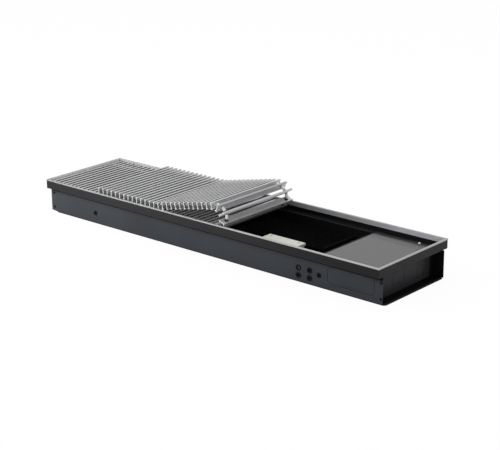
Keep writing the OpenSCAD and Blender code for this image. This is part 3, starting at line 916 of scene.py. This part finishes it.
# ---------------------------------------------------------------- operators
class HEATER_OT_sheets(bpy.types.Operator):
    """Finish the trough's folded sheets and the plate over the connections"""

    bl_idname = "heater.sheets"
    bl_label = "Sheets"

    def execute(self, context):
        c, edge = colours(), sizes().sheet_edge
        # The trough paint, black as painted shade inside the trough and under the raised edge
        coat = paint("trough_paint", c.paint, c.lacquer, trough_shade)
        refined("wall_front", coat, edge)
        self.back_wall(coat, edge)
        # Painted shade: the end walls take a darker copy of the trough paint, with the same
        # painted shade in the trough
        end_shaded_coat = paint("end_shaded_paint", c.end, c.lacquer, trough_shade)
        for node in ("wall_left", "wall_right"):
            refined(node, end_shaded_coat, edge)
        refined("partition", lacquer("partition_lacquer", c.lacquer), edge)
        # The raised edge: darker paint deepened as painted shade, painted shade on its inner
        # faces, painted light in its middle
        upright = paint("rim_paint", c.skirt, c.lacquer, rim_inner_shade, pale=mid_front_light)
        refined("upstands", upright, edge)
        # The base plate near black as painted shade, its end strip painted paler as painted
        # light
        under = paint(
            "base_paint", c.base, c.lacquer, None, 0.5, 0.05, pale=plate_end_light, gain=7.0
        )
        dress("base_plate", under)
        cover = paint("cover_paint", c.cover, c.lacquer, None, 0.16, 0.75)
        refined("cover_plate", cover)
        return {"FINISHED"}

    def back_wall(self, coat, edge):
        """The back sheet, its right end drawn out past the front sheet's."""
        shape = joined_copy("wall_back")
        for vert in shape.verts:
            if abs(vert.co.x - FRONT_END_X * MM) < SAME_PLACE * MM:
                vert.co.x = BACK_END_X * MM
        piece = as_piece(shape, "wall_back_finished", coat)
        stand_for(rounded(piece, edge), "wall_back")


class HEATER_OT_rim(bpy.types.Operator):
    """Finish the aluminium rim and the rubber strips under the grille"""

    bl_idname = "heater.rim"
    bl_label = "Rim"

    def execute(self, context):
        c, edge = colours(), sizes().sheet_edge
        # The long rim with painted reflections on its inner lips and painted shade toward its
        # front left
        long_rim = aluminium("rim_long", c.rim, "X", 0.55, 0.4, c.back_lip, left_front_shade)
        refined("trim_long", long_rim, edge)
        refined("trim_short", aluminium("rim_short", c.rim, "Y", 0.45, 0.4, c.end_lip), edge)
        refined("rubber_strips", rubber("strip_rubber", c.rubber))
        return {"FINISHED"}


class HEATER_OT_fittings(bpy.types.Operator):
    """Finish the rivets, grommets, plugs, screws and nuts on the trough"""

    bl_idname = "heater.fittings"
    bl_label = "Wall fittings"

    def execute(self, context):
        c = colours()
        black = lacquer("black_plastic", c.lacquer)
        soft = rubber("grommet_rubber", c.rubber)
        zinc = steel("zinc", c.steel)
        refined("rivets", paint("rivet_paint", c.base, c.lacquer, None, 0.5, 0.05))
        refined("hole_plugs", black)
        refined("grommets", soft)
        refined("level_screws", zinc)
        refined("level_nuts", zinc)
        refined("cover_screws", steel("screw_zinc", rgba(c.steel, 2.1)[:3], 0.15))
        return {"FINISHED"}


class HEATER_OT_bars(bpy.types.Operator):
    """Finish the aluminium bars of the grille, laid and folded"""

    bl_idname = "heater.bars"
    bl_label = "Grille bars"

    def execute(self, context):
        colour = colours().aluminium
        finish = aluminium("bar_aluminium", colour, "Y")
        for node in ("laid_bars", "ramp_run"):
            dress(node, finish)
        # Painted shade: the tail's bars take a darker copy of the bars' aluminium
        dress("tail_run", aluminium("tail_aluminium_shaded", rgba(colour, 0.92), "Y", 0.6, 0.34))
        # Painted shade on the second and fifth folded bars
        tests = {number: shaded(*steps) for number, steps in SHADE_STEPS.items()}
        for number in range(1, 7):
            name = f"fold_aluminium_{number}"
            folded = aluminium(name, colour, "Y", 0.4, 0.36, darkened=tests.get(number))
            refined(f"fold_bar_{number}", folded, EDGES["fold_bar"] * MM)
        return {"FINISHED"}


class HEATER_OT_cords(bpy.types.Operator):
    """Finish the sleeves, rings and spring cords that hold the bars together"""

    bl_idname = "heater.cords"
    bl_label = "Grille cords"

    def execute(self, context):
        c, s = colours(), sizes()
        tube = aluminium("sleeve_aluminium", c.sleeve, "X", 0.35, 0.3)
        soft = rubber("ring_rubber", c.rubber)
        wire = steel("spring_wire", c.steel, 0.25)
        for node in ("laid_sleeves", "fold_link_34", "fold_link_45"):
            plain(node, tube)
        plain("laid_rings", soft)
        plain("laid_cores", wire)
        parts = (
            ("cores", wire, "spring_steel", 0.0, 5.0),
            ("sleeves", tube, "grille", 5.0, 7.8),
            ("rings", soft, "rubber", 7.8, 12.0),
        )
        for number in range(1, 7):
            parted(f"fold_pins_{number}", parts)
        parted("ramp_pins", parts)
        parted("tail_pins", parts)
        self.springs(wire, s)
        return {"FINISHED"}

    def springs(self, wire, s):
        """The bare lengths of coil where the grille folds."""
        places = fold_places()
        hold = WEB / 2
        sleeve_start = -hold - SLEEVE_LEN
        link_start = RING_END - PITCH / 2 + SPRING_PLAY
        link_end = PITCH / 2 - hold - SPRING_PLAY
        spans = [
            ("trough", RING_END, "bar_one", sleeve_start),
            ("bar_one", RING_END, "bar_two", sleeve_start),
            ("bar_two", RING_END, "bar_three", sleeve_start),
            ("bar_three", RING_END, "link_one", link_start),
            ("link_one", link_end, "bar_four", -hold),
            ("bar_four", RING_END, "link_two", link_start),
            ("link_two", link_end, "bar_five", -hold),
            ("bar_five", RING_END, "bar_six", sleeve_start),
        ]
        for first, leave, second, arrive in spans:
            a, b = places[first], places[second]
            start = (*at(a, leave, 0), a[2])
            end = (*at(b, arrive, 0), b[2])
            length = math.hypot(end[0] - start[0], end[1] - start[1])
            if length < SPRING_LEAST:
                continue
            turns = max(2, round(length * MM / s.spring_pitch))
            shape = spring(
                scaled(start), scaled(end), s.spring_radius, s.spring_wire, turns
            )
            piece = as_piece(shape, f"spring_{first}_{second}", wire)
            x0, z0, _ = scaled(start)
            x1, z1, _ = scaled(end)
            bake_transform(piece)


class HEATER_OT_exchanger(bpy.types.Operator):
    """Finish the finned heat exchanger"""

    bl_idname = "heater.exchanger"
    bl_label = "Heat exchanger"

    def execute(self, context):
        c = colours()
        dress("exch_fins", lacquer("fin_lacquer", c.lacquer, "Z"))
        refined("exch_plates", lacquer("plate_lacquer", c.lacquer))
        tube = copper("tube_copper", c.copper)
        plain("exch_tubes", tube)
        return {"FINISHED"}


class HEATER_OT_valves(bpy.types.Operator):
    """Finish the two valves, their caps and the bleed valve"""

    bl_idname = "heater.valves"
    bl_label = "Valves"

    def execute(self, context):
        c = colours()
        metal = brass("valve_brass", c.brass)
        cap = moulded("cap_plastic", c.white)
        for node in ("supply_valve", "return_valve", "bleed_body", "bleed_screw"):
            refined(node, metal)
        for node in ("valve_knob", "lockshield_cap"):
            refined(node, cap, segments=3)
        return {"FINISHED"}


class HEATER_OT_control_box(bpy.types.Operator):
    """Finish the control box with its lid, glands and terminals"""

    bl_idname = "heater.control_box"
    bl_label = "Control box"

    def execute(self, context):
        c, edge = colours(), sizes().box_edge
        shell = moulded("box_plastic", c.cream, 0.42)
        refined("box_body", shell, segments=3)
        refined("box_lid", shell, edge, 3)
        refined("box_screws", steel("box_zinc", c.steel))
        refined("terminal_block", moulded("terminal_plastic", c.white))
        refined("cable_glands", moulded("gland_plastic", c.rubber, 0.4))
        return {"FINISHED"}


class HEATER_OT_fan(bpy.types.Operator):
    """Finish the crossflow fan with its casing, wheel, motor and feet"""

    bl_idname = "heater.fan"
    bl_label = "Fan"

    def execute(self, context):
        c = colours()
        darkened = lacquer("fan_lacquer", c.lacquer)
        refined("fan_housing", darkened)
        refined("fan_plates", darkened)
        refined("fan_motor", lacquer("motor_lacquer", tuple(v * 3 for v in c.lacquer)))
        wheel = aluminium("wheel_aluminium", tuple(v * 0.25 for v in c.aluminium), "X")
        dress("fan_wheel", wheel)
        soft = rubber("mount_rubber", c.rubber)
        refined("fan_bush", soft)
        refined("fan_feet", soft)
        return {"FINISHED"}


class HEATER_OT_stage(bpy.types.Operator):
    """Lay the pale floor, hang the lamps and set the camera"""

    bl_idname = "heater.stage"
    bl_label = "Stage"

    def execute(self, context):
        stage = context.scene.heater_stage
        self.floor(stage)
        self.world(context, stage)
        self.lamps(stage)
        self.camera(context, stage)
        context.scene.view_settings.view_transform = "Standard"
        return {"FINISHED"}

    def floor(self, stage):
        """A wide plane just under the object."""
        shape = bmesh.new()
        bmesh.ops.create_grid(shape, x_segments=8, y_segments=8, size=FLOOR_HALF)
        sink = min(CAD_BOX[0].z, 0.0) - FLOOR_GAP
        bmesh.ops.translate(shape, verts=shape.verts, vec=(0, 0, sink))
        mesh = bpy.data.meshes.new("floor")
        shape.to_mesh(mesh)
        shape.free()
        mesh.materials.append(floor_finish(stage.floor, stage.floor_white))
        floor = bpy.data.objects.new("floor", mesh)
        bpy.context.scene.collection.objects.link(floor)

    def world(self, context, stage):
        """An even sky that lights the object, and that the camera and mirrors see pale."""
        world = bpy.data.worlds.new("studio")
        world.use_nodes = True
        sky = Nodes(world.node_tree, "ShaderNodeOutputWorld")
        seen = sky.add("ShaderNodeLightPath", out="Is Camera Ray")
        for ray in ("Is Glossy Ray", "Is Transmission Ray"):
            other = sky.add("ShaderNodeLightPath", out=ray)
            seen = sky.add("ShaderNodeMath", {0: seen, 1: other}, operation="MAXIMUM")
        light = sky.add("ShaderNodeBackground", {"Color": SKY_COLOUR, "Strength": stage.sky})
        pale = sky.add("ShaderNodeBackground", {"Strength": 1.0})
        sky.feed(sky.surface, sky.add("ShaderNodeMixShader", {0: seen, 1: light, 2: pale}))
        context.scene.world = world

    def lamps(self, stage):
        """Large soft discs, each turned to the object."""
        for name, (spot, width, share) in LAMPS.items():
            lamp = bpy.data.lights.new(name, "AREA")
            lamp.shape = "DISK"
            lamp.size = width
            lamp.energy = stage.key * share
            holder = bpy.data.objects.new(name, lamp)
            holder.location = spot
            holder.rotation_mode = "QUATERNION"
            holder.rotation_quaternion = (-Vector(spot)).to_track_quat("-Z", "Y")
            bpy.context.scene.collection.objects.link(holder)

    def camera(self, context, stage):
        """The camera of the photo, where its lines say that it stood."""
        lens = bpy.data.cameras.new("camera")
        lens.lens = stage.lens
        lens.sensor_width = SENSOR_MM
        lens.sensor_fit = "HORIZONTAL"
        lens.clip_end = FAR_CLIP
        camera = bpy.data.objects.new("camera", lens)
        camera.location = CAMERA_AT
        back = Vector(
            (
                math.sin(stage.azimuth) * math.cos(stage.elevation),
                -math.cos(stage.azimuth) * math.cos(stage.elevation),
                math.sin(stage.elevation),
            )
        )
        roll = Quaternion((0, 0, 1), stage.roll)
        camera.rotation_mode = "QUATERNION"
        camera.rotation_quaternion = (-back).to_track_quat("-Z", "Y") @ roll
        context.scene.collection.objects.link(camera)
        context.scene.camera = camera


class HEATER_PT_panel(bpy.types.Panel):
    """The heater's settings and steps"""

    bl_label = "Trench convector heater"
    bl_idname = "HEATER_PT_panel"
    bl_space_type = "VIEW_3D"
    bl_region_type = "UI"
    bl_category = "Heater"

    def draw(self, context):
        for group in GROUPS:
            settings = getattr(context.scene, group)
            for key in settings.bl_rna.properties.keys():
                if key not in ("name", "rna_type"):
                    self.layout.prop(settings, key)
        for step in STEPS:
            self.layout.operator(step.bl_idname)


STEPS = (
    HEATER_OT_sheets,
    HEATER_OT_rim,
    HEATER_OT_fittings,
    HEATER_OT_bars,
    HEATER_OT_cords,
    HEATER_OT_exchanger,
    HEATER_OT_valves,
    HEATER_OT_control_box,
    HEATER_OT_fan,
    HEATER_OT_stage,
)
GROUPS = {
    "heater_colours": HeaterColours,
    "heater_sizes": HeaterSizes,
    "heater_stage": HeaterStage,
}


def register():
    for kind in (*GROUPS.values(), *STEPS, HEATER_PT_panel):
        bpy.utils.register_class(kind)
    for name, kind in GROUPS.items():
        setattr(bpy.types.Scene, name, PointerProperty(type=kind))


def unregister():
    for name in GROUPS:
        delattr(bpy.types.Scene, name)
    for kind in reversed((*GROUPS.values(), *STEPS, HEATER_PT_panel)):
        bpy.utils.unregister_class(kind)


def main():
    """Registers the add-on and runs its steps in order."""
    register()
    for step in STEPS:
        group, name = step.bl_idname.split(".")
        getattr(getattr(bpy.ops, group), name)()


if __name__ == "__main__":
    main()
